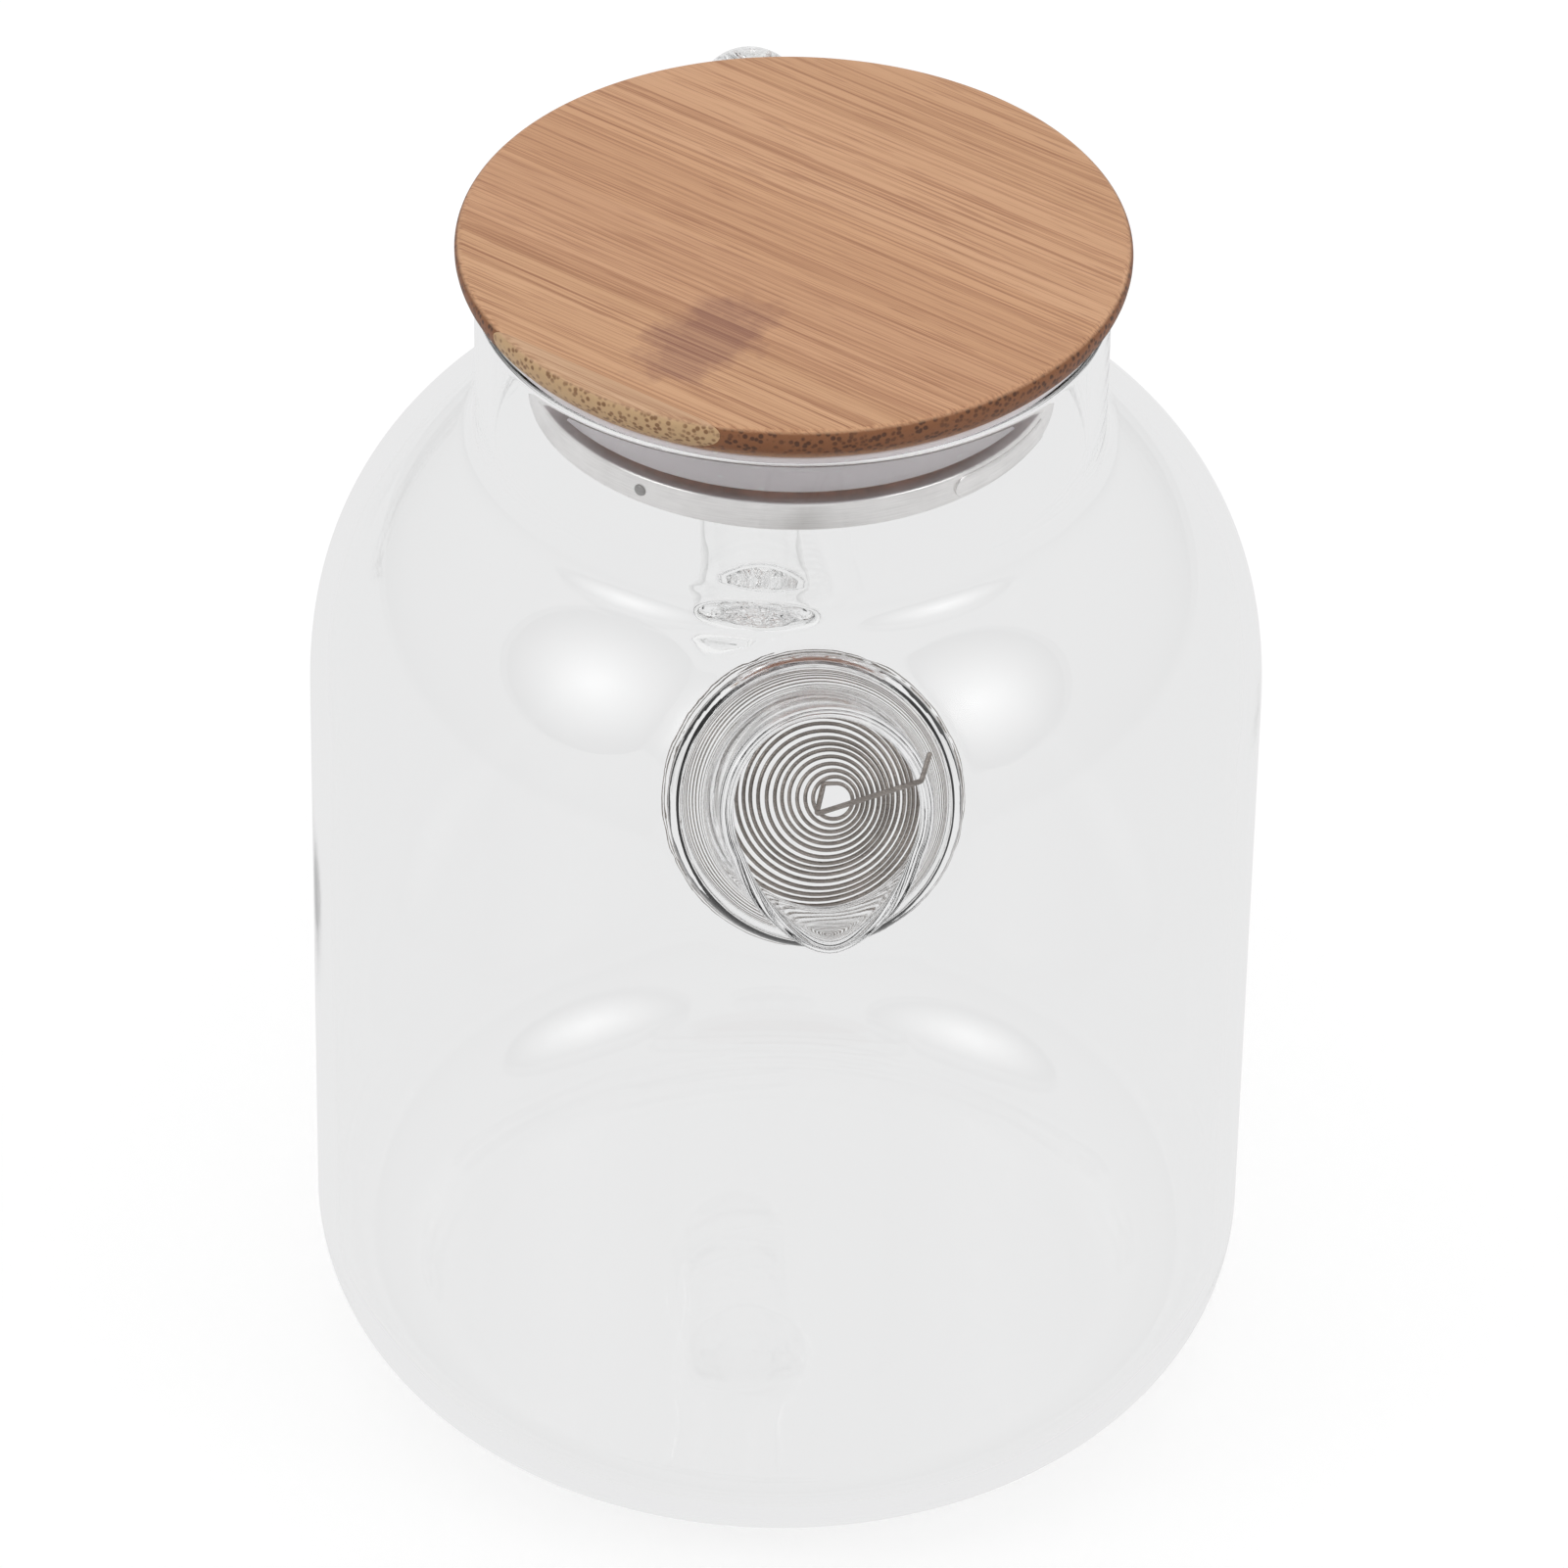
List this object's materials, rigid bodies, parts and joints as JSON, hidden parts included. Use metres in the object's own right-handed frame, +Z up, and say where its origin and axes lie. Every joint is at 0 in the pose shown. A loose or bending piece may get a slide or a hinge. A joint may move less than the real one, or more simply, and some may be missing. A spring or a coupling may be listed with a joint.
{
  "type": "detergent dispenser bottle",
  "caption": "Clear glass jug with a bamboo stopper lid, silicone seal, short pouring spout with a coiled wire strainer, and a looped glass handle.",
  "frame": {"origin": "centre of the flat base, where the jug stands", "axes": "+Z up along the jug's axis; the spout points along -Y and the handle stands along +Y"},
  "size_m": [0.13, 0.2028, 0.1815],
  "materials": {
    "clear_glass": "clear, flame polished",
    "bamboo": "sanded, oiled bamboo",
    "bamboo_edge": "sanded pale bamboo",
    "bamboo_plug": "damp, dark bamboo",
    "silicone": "translucent silicone",
    "steel_band": "brushed",
    "steel_pin": "brushed",
    "steel_wire": "drawn"
  },
  "bodies": {
    "jar": {"glass_body": "clear_glass", "glass_spout": "clear_glass", "glass_handle": "clear_glass", "spout_strainer": "steel_wire"},
    "seal": {"silicone_seal": "silicone"},
    "lid": {"lid_stave_1": "bamboo_edge", "lid_stave_2": "bamboo", "lid_stave_3": "bamboo", "lid_stave_4": "bamboo", "lid_stave_5": "bamboo", "lid_stave_6": "bamboo", "lid_plug": "bamboo_plug", "retaining_ring": "steel_band", "ring_pins": "steel_pin"}
  },
  "joints": [
    {"name": "lid_lift", "type": "slide", "parent": "jar", "child": "seal", "axis": [0, 0, 1], "range_m": [0, 0.045]},
    {"name": "lid_turn", "type": "hinge", "parent": "seal", "child": "lid", "pos_m": [0, 0, 0.17], "axis": [0, 0, 1], "continuous": true}
  ]
}
